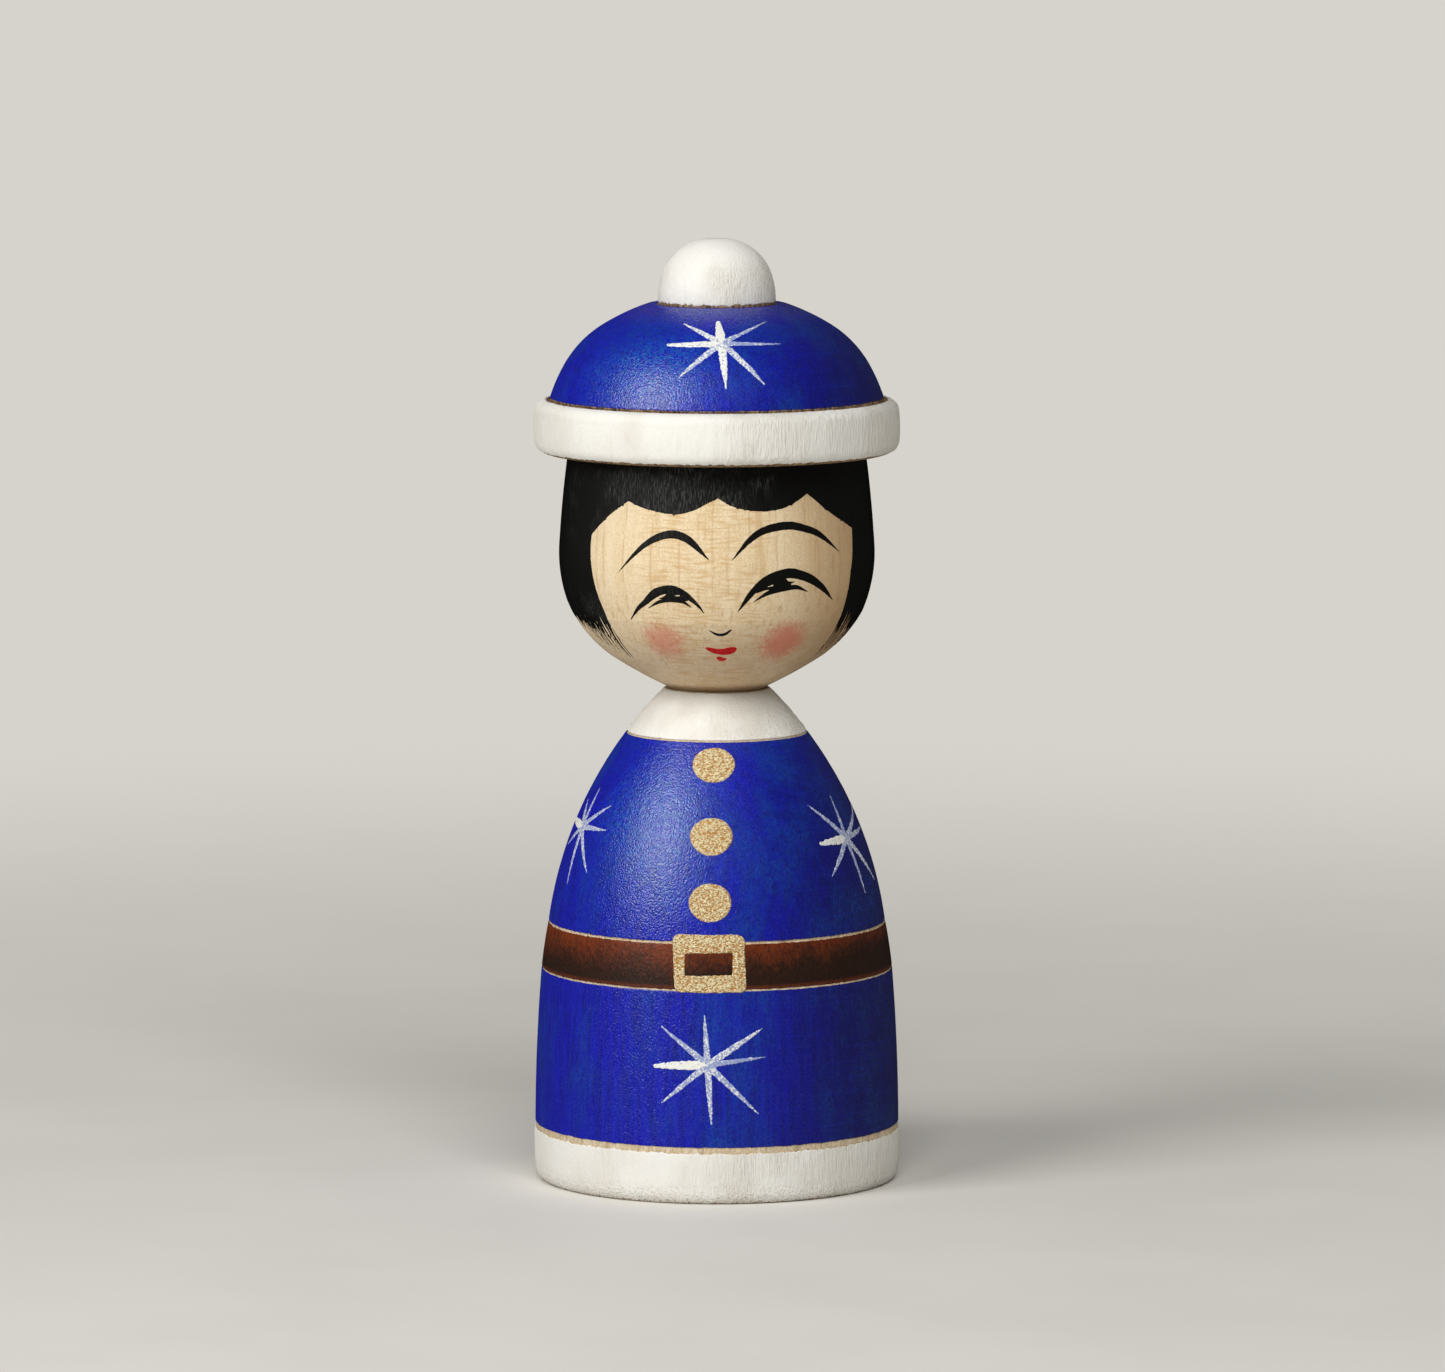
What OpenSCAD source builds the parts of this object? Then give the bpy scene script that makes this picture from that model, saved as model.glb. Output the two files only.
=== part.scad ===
// Turned wooden doll in a winter coat and hat.
// Four pieces, all round about the Z axis: a torso with a neck socket, a head whose knobbed tenon
// turns in that socket, a hat hollowed to sit on the crown of the head, and a pompom pegged into
// the hat. Millimetres, +Z up, origin in the middle of the base, which stands on the table.

/* [Torso] */
// Diameter of the white hem at its widest
hem_d = 46.4; // [44:0.2:50]
// Height of the white hem
hem_h = 6.5; // [5:0.1:9]
// Height of the bare-wood band between the hem and the coat
bare_band_h = 0.8; // [0.4:0.1:1.5]
// Height of the skirt of the coat, up to the belt
skirt_h = 19.8; // [16:0.2:24]
// Diameter where the skirt meets the belt
belt_low_d = 44.6; // [42:0.2:46]
// Height of the belt
belt_h = 5.9; // [4:0.1:8]
// Diameter where the belt meets the bodice
belt_high_d = 42.8; // [40:0.2:44]
// Height of the bodice of the coat, from the belt to the collar
bodice_h = 24.3; // [22:0.1:28]
// Diameter at the top of the coat
coat_top_d = 22.8; // [20:0.2:26]
// Height of the white collar
collar_h = 5.6; // [4.5:0.1:8]
// Diameter of the neck, at the top of the collar
neck_d = 13.2; // [12.6:0.1:14]

/* [Head] */
// Diameter of the head at its widest
head_d = 40; // [38.5:0.1:41]
// Height from the neck to the widest part of the head
lower_head_h = 17.4; // [16:0.1:19]
// Height from the widest part of the head to the hat
upper_head_h = 12.6; // [10:0.1:14]
// Diameter of the head where it goes into the hat
brow_d = 37.7; // [35:0.1:38]
// Height of the crown of the head inside the hat
crown_of_head_h = 10.6; // [9:0.1:11.5]

/* [Hat] */
// Diameter of the rolled brim
brim_d = 46.4; // [45:0.2:50]
// Height of the rolled brim
brim_h = 6.7; // [6:0.1:8]
// Diameter of the crown where it rises from the brim
hat_crown_d = 42.4; // [41:0.1:43]
// Height of the crown above the brim
hat_crown_h = 12.1; // [11:0.1:14]

/* [Pompom] */
// Diameter of the pompom
pompom_d = 14.8; // [13:0.1:16]
// Height of the pompom above the hat
pompom_h = 8.25; // [7:0.05:10]
// Diameter of the peg under the pompom
peg_d = 5; // [4:0.1:6]
// Length of the peg under the pompom
peg_len = 5.5; // [4:0.1:6.5]

/* [Joints] */
// Diameter of the neck tenon under the head
tenon_d = 9; // [8:0.1:9.6]
// Diameter of the knob on the end of the tenon
knob_d = 10.4; // [9.9:0.1:11]
// Length of the tenon and its knob
tenon_len = 10; // [8:0.1:14]
// Radial running gap round the tenon, and the gap at the seams
running_gap = 0.05; // [0.02:0.01:0.1]

/* [Hidden] */
$fn = 128;

bare_wood = [0.88, 0.77, 0.60];
white_paint = [0.94, 0.92, 0.87];
blue_paint = [0.13, 0.15, 0.62];
brown_paint = [0.36, 0.18, 0.10];

// Heights of the seams, from the base up
hem_top = hem_h;
skirt_base = hem_top + bare_band_h;
belt_base = skirt_base + skirt_h;
belt_top = belt_base + belt_h;
coat_top = belt_top + bodice_h;
neck_z = coat_top + collar_h;
head_base = neck_z + running_gap;
head_widest = head_base + lower_head_h;
brim_base = head_widest + upper_head_h;
brim_top = brim_base + brim_h;
hat_top = brim_top + hat_crown_h;
pompom_top = hat_top + pompom_h;
head_top = brim_base + crown_of_head_h;

score_r = 0.22;      // radius of the scored lines that part the colours
score_depth = 0.12;  // how deep the scored lines and the bare band are cut
foot_round = 1.5;    // height of the rounded edge at the foot of the hem
foot_inset = 1;      // width of the rounded edge at the foot of the hem
coat_inset = 0.05;   // how far the coat is in from the hem
brim_round = 1.5;    // height of the rounded edges of the brim
brim_inset = 1.6;    // width of the rounded edge under the brim
brim_lip = 1.05;     // width of the rounded edge on top of the brim
side_inset = 0.12;   // how far the ends of a barrelled side are in from its middle
neck_edge = 0.3;     // width of the small edge under the chin
hat_ledge = 1.3;     // width of the flat ring of the hat round the pompom
socket_air = 1;      // free space under the knob and under the peg
knob_share = 0.45;   // share of the tenon's length that is knob
knob_taper = 0.8;    // height of each of the two tapers of the knob
tip_inset = 0.6;     // how much thinner than the tenon the tip of the knob is

// The bulge of a dome that stands on a circle of radius r, rises to h, and is level at its top.
function dome_bulge(r, h) =
    let (reach_2 = r * r + h * h, dome_r = reach_2 / (2 * h))
    dome_r - sqrt(dome_r * dome_r - reach_2 / 4);

// An outline is a list of stations from the bottom up. Each station is [radius, height, bulge],
// and bulge is how far the side swells out of the straight line to the next station.
hem_outline = [
    [hem_d / 2 - foot_inset, 0, 0.26],
    [hem_d / 2 - side_inset, foot_round, 0.11],
    [hem_d / 2, hem_top, 0]
];
bare_band_outline = [
    [hem_d / 2 - score_depth, hem_top, 0],
    [hem_d / 2 - score_depth, skirt_base, 0]
];
skirt_outline = [
    [hem_d / 2 - coat_inset, skirt_base, 0.18],
    [belt_low_d / 2, belt_base, 0]
];
belt_outline = [
    [belt_low_d / 2, belt_base, 0.07],
    [belt_high_d / 2, belt_top, 0]
];
bodice_outline = [
    [belt_high_d / 2, belt_top, 1.68],
    [coat_top_d / 2, coat_top, 0]
];
collar_outline = [
    [coat_top_d / 2, coat_top, 0.15],
    [neck_d / 2, neck_z, 0]
];
// The jaw and the cheek are where the curve of the face changes
jaw = [0.343 * head_d, head_base + 0.25 * lower_head_h];
cheek = [0.4625 * head_d, head_base + 0.57 * lower_head_h];
head_outline = [
    [neck_d / 2 - neck_edge, head_base, 0],
    [neck_d / 2, head_base + neck_edge, 0.15],
    [jaw.x, jaw.y, 0.4],
    [cheek.x, cheek.y, 0.4],
    [head_d / 2, head_widest, 0.14],
    [brow_d / 2, brim_base, dome_bulge(brow_d / 2, crown_of_head_h)],
    [0, head_top, 0]
];
brim_outline = [
    [brim_d / 2 - brim_inset, brim_base, 0.38],
    [brim_d / 2 - side_inset, brim_base + brim_round, 0.1],
    [brim_d / 2 - side_inset, brim_top - brim_round, 0.27],
    [brim_d / 2 - brim_lip, brim_top - side_inset, 0],
    [hat_crown_d / 2, brim_top, 0]
];
// The shoulder and the top of the hat's crown are where its curve changes
shoulder = [0.456 * hat_crown_d, brim_top + 0.357 * hat_crown_h];
upper_shoulder = [0.359 * hat_crown_d, brim_top + 0.735 * hat_crown_h];
hat_crown_outline = [
    [hat_crown_d / 2, brim_top, 0.12],
    [shoulder.x, shoulder.y, 0.34],
    [upper_shoulder.x, upper_shoulder.y, 0.24],
    [pompom_d / 2 + hat_ledge, hat_top, 0]
];
pompom_outline = [
    [pompom_d / 2, hat_top + running_gap, 0.21],
    [0.457 * pompom_d, hat_top + 0.5 * pompom_h, 1.08],
    [0.06 * pompom_d, pompom_top, 0]
];

// The half outline between two stations: a straight-sided piece with a round swelling on it.
module band(low, high) {
    foot = [low.x, low.y];
    crest = [high.x, high.y];
    chord = crest - foot;
    reach = norm(chord);
    bulge = low[2];
    polygon([[0, foot.y], foot, crest, [0, crest.y]]);
    if (bulge > 0) {
        arc_r = (reach * reach / 4 + bulge * bulge) / (2 * bulge);
        inward = [-chord.y, chord.x] / reach;
        centre = (foot + crest) / 2 + inward * (arc_r - bulge);
        intersection() {
            translate(centre) circle(r = arc_r);
            translate([min(foot.x, crest.x), foot.y]) square([reach + bulge, chord.y]);
        }
    }
}

module half_outline(stations) {
    for (i = [0 : len(stations) - 2]) band(stations[i], stations[i + 1]);
}

module turned(stations) {
    rotate_extrude() half_outline(stations);
}

// A fine line scored round the turned surface at a given radius and height.
module scored_line(radius, height) {
    rotate_extrude() translate([radius + score_r - score_depth, height]) circle(r = score_r, $fn = 32);
}

// The tenon under the head, and with a gap the socket that it turns in. Its tapered knob holds
// the head down but lets it turn.
module tenon(top, gap, below) {
    knob_top = head_base - (1 - knob_share) * tenon_len;
    tenon_base = head_base - tenon_len - below;
    tenon_r = tenon_d / 2 + gap;
    knob_r = knob_d / 2 + gap;
    rotate_extrude() polygon([
        [0, tenon_base],
        [tenon_r - tip_inset, tenon_base],
        [knob_r, tenon_base + knob_taper],
        [knob_r, knob_top - knob_taper + gap],
        [tenon_r, knob_top + gap],
        [tenon_r, top],
        [0, top]
    ]);
}

// The peg under the pompom, and with a gap the hole that it is glued in.
module peg(top, gap, below) {
    length = top - hat_top + peg_len + below;
    translate([0, 0, top - length]) cylinder(d = peg_d + 2 * gap, h = length);
}

// The crown of the head, with a gap all over: the hollow under the hat.
module head_hollow() {
    hollow_r = brow_d / 2 + running_gap;
    turned([
        [hollow_r, brim_base - 1, 0],
        [hollow_r, brim_base + running_gap, dome_bulge(hollow_r, crown_of_head_h)],
        [0, head_top + running_gap, 0]
    ]);
}

module torso() {
    difference() {
        union() {
            color(white_paint) turned(hem_outline);
            color(bare_wood) turned(bare_band_outline);
            color(blue_paint) turned(skirt_outline);
            color(brown_paint) turned(belt_outline);
            color(blue_paint) turned(bodice_outline);
            color(white_paint) turned(collar_outline);
        }
        scored_line(belt_low_d / 2, belt_base);
        scored_line(belt_high_d / 2, belt_top);
        scored_line(coat_top_d / 2, coat_top);
        tenon(neck_z + 1, running_gap, socket_air);
    }
}

module head() {
    color(bare_wood) {
        turned(head_outline);
        tenon(head_base + 1, 0, 0);
    }
}

module hat() {
    difference() {
        union() {
            color(white_paint) turned(brim_outline);
            color(blue_paint) turned(hat_crown_outline);
        }
        scored_line(hat_crown_d / 2, brim_top);
        head_hollow();
        peg(hat_top + 1, running_gap, socket_air / 2);
    }
}

module pompom() {
    color(white_paint) {
        turned(pompom_outline);
        peg(hat_top + 1, 0, 0);
    }
}

torso();
head();
hat();
pompom();
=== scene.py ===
"""Looks for the turned wooden doll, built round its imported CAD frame.

The four CAD nodes stay in view as the bare wood. The paint on them is geometry too: each band of colour is
a thin closed skin round the wood, and each painted motif is a thin closed pad. Both are laid on the true
outline of the node they sit on, which is read from the frame.

Lengths are in millimetres until a mesh is made. The face looks along -Y. Angles round the doll are zero at
the front and grow towards the viewer's right.
"""

import math
from functools import reduce

import bpy
import numpy as np
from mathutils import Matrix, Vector
from mathutils.bvhtree import BVHTree


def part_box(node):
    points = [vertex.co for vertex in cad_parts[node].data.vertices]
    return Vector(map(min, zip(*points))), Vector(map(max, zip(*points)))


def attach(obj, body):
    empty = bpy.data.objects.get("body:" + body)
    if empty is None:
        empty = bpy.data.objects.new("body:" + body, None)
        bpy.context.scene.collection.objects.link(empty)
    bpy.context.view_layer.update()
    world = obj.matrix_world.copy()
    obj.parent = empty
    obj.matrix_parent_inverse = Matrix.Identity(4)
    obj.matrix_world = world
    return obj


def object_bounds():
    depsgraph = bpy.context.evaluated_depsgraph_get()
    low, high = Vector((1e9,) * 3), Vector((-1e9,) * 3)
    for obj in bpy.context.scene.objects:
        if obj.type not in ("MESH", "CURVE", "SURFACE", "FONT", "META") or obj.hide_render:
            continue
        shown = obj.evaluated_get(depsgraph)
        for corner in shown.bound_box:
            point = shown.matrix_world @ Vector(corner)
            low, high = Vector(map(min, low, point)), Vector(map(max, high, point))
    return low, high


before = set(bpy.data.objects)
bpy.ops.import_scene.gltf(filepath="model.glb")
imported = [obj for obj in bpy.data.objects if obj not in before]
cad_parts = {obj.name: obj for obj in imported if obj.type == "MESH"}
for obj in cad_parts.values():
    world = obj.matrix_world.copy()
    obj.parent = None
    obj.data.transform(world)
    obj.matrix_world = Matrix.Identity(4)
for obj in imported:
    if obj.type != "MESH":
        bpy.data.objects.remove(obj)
cad_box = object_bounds()

MM = 0.001
CORNER = 22          # a turn of an outline sharper than this, in degrees, is a corner
FURTHEST_RING = 6    # rings of points on a node's side are never further apart than this
SHORTEST_BAND = 2.5  # a stretch between two corners shorter than this isn't a band of colour
BURIED = 0.02        # how far the edge of a paint film goes into what it lies on
DEEP = 0.06          # how far the hidden underside of a paint film lies in the wood
PAINT = 0.06         # thickness of the bands of colour
INK = 0.035          # thickness of the brush strokes on the face
COLUMNS = 720        # how many points a band of colour has round the doll
ROW = 0.27           # distance between the rows of points of a band
BACK_ROWS = 14       # how many rows of points the underside of a band has
BAND_EDGE = 0.16     # width of the rounded edge of a band
OUTSIDE = -1e9       # the depth of a point that no brush stroke has reached


# ---------------- noise

CELLS = 64
LATTICE = np.random.default_rng(12).random((CELLS, CELLS, CELLS)) * 2 - 1


def grain(x, y, z):
    """Smooth noise from -1 to 1 at arrays of coordinates, one cell to a unit."""
    floors = [np.floor(c).astype(int) for c in (x, y, z)]
    parts = [c - f for c, f in zip((x, y, z), floors)]
    parts = [p * p * (3 - 2 * p) for p in parts]
    total = 0.0
    for i in (0, 1):
        for j in (0, 1):
            for k in (0, 1):
                weight = abs(1 - i - parts[0]) * abs(1 - j - parts[1]) * abs(1 - k - parts[2])
                value = LATTICE[(floors[0] + i) % CELLS, (floors[1] + j) % CELLS, (floors[2] + k) % CELLS]
                total = total + weight * value
    return total


def grain_at(points, width, height, shift=0.0):
    """Noise at 3-D points whose lumps are `width` across and `height` tall."""
    x, y, z = points[..., 0], points[..., 1], points[..., 2]
    return grain(x / width + shift, y / width + shift, z / height + shift)


def ramp(value, low, high):
    """0 below low, 1 above high, smooth between."""
    t = np.clip((value - low) / (high - low), 0, 1)
    return t * t * (3 - 2 * t)


# ---------------- the sides of the turned nodes

def outer_outline(node, hearts, above):
    """(radius, height) of a node's outer side from the bottom up.

    It is read along the meridian where the turned surfaces start. It keeps the points over the height
    `above` that can be seen from outside when looking at one of the hearts, which are points on the axis,
    and strings them together, each to its nearest."""
    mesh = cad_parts[node].data
    points = np.array([v.co for v in mesh.vertices]) / MM
    tree = BVHTree.FromPolygons(points.tolist(), [list(p.vertices) for p in mesh.polygons])
    radius = np.hypot(points[:, 0], points[:, 1])
    angle = np.round(np.arctan2(points[:, 1], points[:, 0]), 4)
    angles, counts = np.unique(angle[radius > 1], return_counts=True)
    seam = angles[counts.argmax()]
    chosen = ((angle == seam) | (radius < 0.01)) & (points[:, 2] > above)
    flat = np.unique(np.round(np.column_stack([radius, points[:, 2]])[chosen], 3), axis=0)

    def visible(r, z):
        for heart in hearts:
            for nudge in (-0.02, 0.0, 0.02):
                point = Vector(((r + nudge) * math.cos(seam), (r + nudge) * math.sin(seam), z))
                away = point - Vector((0, 0, heart))
                hit = tree.ray_cast(point + away * 2, -away.normalized())[0]
                if hit is not None and (hit - point).length < 0.04:
                    return True
        return False

    seen = [(r, z) for r, z in flat if visible(r, z)]
    here = min(seen, key=lambda p: (round(p[1], 2), -p[0]))
    kept = [here]
    seen.remove(here)
    while seen:
        here = min(seen, key=lambda p: math.dist(p, kept[-1]))
        seen.remove(here)
        if math.dist(here, kept[-1]) > FURTHEST_RING:
            break
        if math.dist(here, kept[-1]) > 0.004:
            kept.append(here)
    return np.array(kept)


def smooth_curve(points, step=0.04):
    """Points every `step` along a curve through the given points that bends like a run of arcs."""
    chords = np.diff(points, axis=0)
    lengths = np.hypot(*chords.T)
    unit = chords / lengths[:, None]
    tangents = np.empty_like(points)
    inner = unit[:-1] * lengths[1:, None] + unit[1:] * lengths[:-1, None]
    tangents[1:-1] = inner / np.hypot(*inner.T)[:, None]
    if len(points) == 2:
        tangents[:] = unit[0]
    else:
        tangents[0] = 2 * unit[0] * unit[0].dot(tangents[1]) - tangents[1]
        tangents[-1] = 2 * unit[-1] * unit[-1].dot(tangents[-2]) - tangents[-2]
    pieces = []
    for i, length in enumerate(lengths):
        t = np.linspace(0, 1, max(2, int(length / step)), endpoint=False)[:, None]
        start, end = points[i], points[i + 1]
        leave, arrive = tangents[i] * length, tangents[i + 1] * length
        pieces.append((2 * t**3 - 3 * t**2 + 1) * start + (t**3 - 2 * t**2 + t) * leave
                      + (3 * t**2 - 2 * t**3) * end + (t**3 - t**2) * arrive)
    pieces.append(points[-1:])
    return np.vstack(pieces)


class Side:
    """The outer side of one turned node, measured by the distance s along its outline from the bottom.

    bands holds the s of the two ends of each smooth stretch between scored lines and corners. The gaps
    between bands are bridged, so that a motif can cross a scored line."""

    def __init__(self, node, hearts, above=-1.0, wrap=0.0, flat_top=0.0):
        """wrap adds a flat under the bottom edge, and flat_top a flat inside the top edge."""
        points = outer_outline(node, hearts, above)
        points = np.vstack([points[:1] - (wrap, 0), points]) if wrap else points
        steps = np.diff(points, axis=0)
        heading = np.unwrap(np.arctan2(steps[:, 1], steps[:, 0]))
        corners = np.flatnonzero(np.abs(np.diff(heading)) > math.radians(CORNER)) + 1
        cuts = [0, *corners, len(points) - 1]
        if flat_top:
            points = np.vstack([points, points[-1] - (flat_top, 0)])
            cuts.append(len(points) - 1)
        self.bands = []
        parts = []
        reached = 0.0
        last = None
        for a, b in zip(cuts, cuts[1:]):
            run = points[a:b + 1]
            if np.hypot(*np.diff(run, axis=0).T).sum() < SHORTEST_BAND:
                continue
            curve = smooth_curve(run)
            lengths = np.hypot(*np.diff(curve, axis=0).T)
            if last is not None:
                reached += max(math.dist(last, curve[0]), 0.001)
            s = reached + np.concatenate([[0], np.cumsum(lengths)])
            slope = np.gradient(curve, s, axis=0)
            slope /= np.hypot(*slope.T)[:, None]
            parts.append(np.column_stack([s, curve, slope[:, 1], -slope[:, 0]]))
            self.bands.append((s[0], s[-1]))
            reached = s[-1]
            last = curve[-1]
        self.table = np.vstack(parts)

    def band(self, height):
        """The two ends of the band of colour at a height."""
        def miss(ends):
            return max(self.at(ends[0])[1] - height, height - self.at(ends[1])[1])
        return min(self.bands, key=miss)

    def at(self, s):
        """Radius, height and the two parts of the outward normal at s."""
        return [np.interp(s, self.table[:, 0], self.table[:, i]) for i in (1, 2, 3, 4)]

    def s_at(self, height):
        """The s of a height."""
        return np.interp(height, self.table[:, 2], self.table[:, 0])

    def place(self, theta, s, lift=0.0):
        """3-D points at angle theta (radians) and distance s, lifted off the wood."""
        r, z, out, up = self.at(s)
        r = r + out * lift
        return np.stack([r * np.sin(theta), -r * np.cos(theta), z + up * lift], axis=-1)


# ---------------- meshes

def put(name, data):
    """A new object in the scene."""
    made = bpy.data.objects.new(name, data)
    bpy.context.scene.collection.objects.link(made)
    return made


def add_piece(name, points, faces, body, material, cover=None):
    """Makes a mesh from points in millimetres and hangs it on a CAD body."""
    mesh = bpy.data.meshes.new(name)
    mesh.from_pydata((points * MM).tolist(), [], faces)
    mesh.shade_smooth()
    mesh.materials.append(material)
    if cover is not None:
        layer = mesh.attributes.new("cover", "FLOAT", "POINT")
        layer.data.foreach_set("value", np.asarray(cover, np.float32))
    piece = put(name, mesh)
    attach(piece, body)


def turns(columns=COLUMNS):
    """The angles of the columns of points round the doll, in radians."""
    return np.arange(columns) * 2 * math.pi / columns


def rounded(inside, width):
    """Height, 0 to 1, of a film's rounded edge at a distance inside its outline."""
    t = 1 - np.clip(inside / width, 0, 1)
    return np.sqrt(1 - t * t)


def grid_faces(first, rows, columns):
    """Quads of a grid of points whose columns run once round the doll."""
    i, j = np.meshgrid(np.arange(rows - 1), np.arange(columns), indexing="ij")
    right = (j + 1) % columns
    corners = [i * columns + j, i * columns + right, (i + 1) * columns + right, (i + 1) * columns + j]
    return (first + np.stack(corners, axis=-1).reshape(-1, 4)).tolist()


def skin(name, side, low, high, look, body, thickness=PAINT, columns=COLUMNS, to_axis=False):
    """A thin closed film of paint once round the doll, between the lines s = low and s = high.

    low and high are numbers or arrays over the columns. look is (slot, material, relief), and relief gives
    the unevenness of the paint at 3-D points. thickness is a number or a function of s. to_axis closes the
    film over the doll's axis, where s = high is."""
    slot, material, relief = look
    theta = turns(columns)
    low = np.broadcast_to(low, columns)
    high = np.broadcast_to(high, columns)
    length = float(np.median(high - low))
    edge = np.array([0, 0.03, 0.07, 0.13, 0.22])
    middle = np.arange(edge[-1] + ROW, length - edge[-1] - ROW / 2, ROW)
    far = np.arange(length - edge[-1], length - ROW / 2, ROW) if to_axis else length - edge[::-1]
    u = np.concatenate([edge, middle, far]) / length
    s = low + (high - low) * u[:, None]
    inside = s - low
    if not to_axis:
        inside = np.minimum(inside, high - s)
    full = thickness(s) if callable(thickness) else thickness
    uneven = relief(side.place(theta, s))
    lift = (full + BURIED + uneven) * rounded(inside, BAND_EDGE) - BURIED
    outer = side.place(theta, s, lift)
    back = np.linspace(0.96 if to_axis else 1, 0, BACK_ROWS)
    inner = side.place(theta, low + (high - low) * back[:, None], -DEEP)
    rows = len(u)
    points = np.vstack([outer.reshape(-1, 3), inner.reshape(-1, 3)])
    inner_first = rows * columns
    foot = len(points) - columns
    if to_axis:
        pole = len(points)
        top = side.place(0, high[:1])
        points = np.vstack([points, side.place(0, high[:1], full + relief(top)),
                            side.place(0, high[:1], -DEEP)])
        faces = grid_faces(0, rows, columns) + grid_faces(inner_first, BACK_ROWS, columns)
        for j in range(columns):
            k = (j + 1) % columns
            faces.append([inner_first - columns + j, inner_first - columns + k, pole])
            faces.append([inner_first + k, inner_first + j, pole + 1])
    else:
        faces = grid_faces(0, rows + BACK_ROWS, columns)
    faces += [[foot + j, foot + (j + 1) % columns, (j + 1) % columns, j] for j in range(columns)]
    add_piece(name, points, faces, body, material)


def contour(inside):
    """The polygons of a grid of numbers where they are positive, cut along the zero line.

    Returns grid coordinates (column, row) of the points, and the faces."""
    rows, columns = inside.shape
    positive = inside > 0
    index = -np.ones(inside.shape, int)
    places = []
    crossings = {}
    faces = []

    def corner(i, j):
        if index[i, j] < 0:
            index[i, j] = len(places)
            places.append((j, i))
        return index[i, j]

    def crossing(a, b):
        key = (a, b) if a < b else (b, a)
        if key not in crossings:
            (i, j), (k, m) = key
            t = inside[i, j] / (inside[i, j] - inside[k, m])
            crossings[key] = len(places)
            places.append((j + (m - j) * t, i + (k - i) * t))
        return crossings[key]

    touched = positive[:-1, :-1] | positive[:-1, 1:] | positive[1:, 1:] | positive[1:, :-1]
    for i, j in zip(*np.nonzero(touched)):
        ring = [(i, j), (i, j + 1), (i + 1, j + 1), (i + 1, j)]
        face = []
        for here, after in zip(ring, ring[1:] + ring[:1]):
            if positive[here]:
                face.append(corner(*here))
            if positive[here] != positive[after]:
                face.append(crossing(here, after))
        faces.append(face)
    return np.array(places, float), faces


def pad(name, side, centre, reach, inside, look, body, thickness, base=0, pitch=0.08, round_edge=0.14):
    """A thin closed pad of paint on a node's side.

    centre is (angle in degrees, height); reach is half its width and height. inside(x, y) tells how far each
    point of the unrolled surface is inside the motif, and how thick the colour covers there. base is the
    thickness of the paint that the pad lies on."""
    slot, material, relief = look
    theta0, s0 = math.radians(centre[0]), float(side.s_at(centre[1]))
    columns = np.arange(-reach[0], reach[0] + pitch, pitch)
    rows = np.arange(-reach[1], reach[1] + pitch, pitch)
    distance = inside(*np.meshgrid(columns, rows))[0]
    small = 0.04 * pitch
    distance = np.where(np.abs(distance) < small, np.where(distance < 0, -small, small), distance)
    places, faces = contour(distance)
    x, y = places[:, 0] * pitch - reach[0], places[:, 1] * pitch - reach[1]
    depth, cover = inside(x, y)
    on_grid = (places % 1 == 0).all(axis=1)
    depth = np.where(on_grid, np.maximum(depth, small), 0)
    s = s0 + y
    theta = theta0 + x / side.at(s)[0]
    uneven = relief(side.place(theta, s))
    lift = base - BURIED + (thickness + BURIED + uneven) * rounded(depth, round_edge)
    top = side.place(theta, s, lift)
    under = side.place(theta, s, base - DEEP)
    count = len(top)
    sides = {}
    for face in faces:
        for a, b in zip(face, face[1:] + face[:1]):
            if (b, a) in sides:
                del sides[(b, a)]
            else:
                sides[(a, b)] = True
    walls = [[b, a, a + count, b + count] for a, b in sides]
    below = [[v + count for v in reversed(face)] for face in faces]
    points = np.vstack([top, under])
    add_piece(name, points, faces + below + walls, body, material, np.tile(cover, 2))


# ---------------- brush strokes

def brush(x, y, stations):
    """How far inside a tapering brush stroke each point is. A station is (x, y, half width)."""
    line = smooth_stations(np.array(stations, float))
    best = np.full_like(x, OUTSIDE)
    for (ax, ay, aw), (bx, by, bw) in zip(line, line[1:]):
        dx, dy = bx - ax, by - ay
        t = np.clip(((x - ax) * dx + (y - ay) * dy) / (dx * dx + dy * dy), 0, 1)
        best = np.maximum(best, aw + (bw - aw) * t - np.hypot(x - ax - dx * t, y - ay - dy * t))
    return best


def smooth_stations(stations, steps=6):
    """A rounder run of stations through the given ones."""
    if len(stations) < 3:
        return stations
    padded = np.vstack([2 * stations[0] - stations[1], stations, 2 * stations[-1] - stations[-2]])
    made = []
    for p0, p1, p2, p3 in zip(padded, padded[1:], padded[2:], padded[3:]):
        for t in np.arange(steps) / steps:
            made.append(0.5 * (2 * p1 + (p2 - p0) * t + (2 * p0 - 5 * p1 + 4 * p2 - p3) * t * t
                               + (3 * p1 - p0 - 3 * p2 + p3) * t**3))
    made.append(stations[-1])
    made = np.array(made)
    made[:, 2] = np.maximum(made[:, 2], 0.01)
    return made


def rough(x, y, amount, size, seed):
    """Raggedness of a brush stroke's edge."""
    return amount * grain(np.asarray(x) / size, np.asarray(y) / size, np.full_like(x, seed + 0.5))


def painted(strokes, holes=(), ragged=0.03, seed=1):
    """The inside of a motif made of brush strokes, less some holes where the brush missed."""
    def inside(x, y):
        depth = np.max([brush(x, y, stroke) for stroke in strokes], axis=0)
        depth = depth + rough(x, y, ragged, 0.16, seed)
        for hole in holes:
            depth = np.minimum(depth, -brush(x, y, hole))
        return depth, np.ones_like(x)
    return inside


# ---------------- materials

HAT_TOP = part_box("hat")[1].z / MM

# Where the blue is thinnest and turns cyan: on the bodice and the crown, where the key light's highlights
# fall, so these patches are partly thin paint and partly a painted tint of those highlights. Angle and
# height of the middle, half size as an angle and a height. Angles are in radians here and in CHEEKS.
THIN_BLUE_AND_HIGHLIGHT_TINT = ((-0.42, 46.5, 0.6, 12), (-0.45, 104.5, 0.6, 6))

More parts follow.
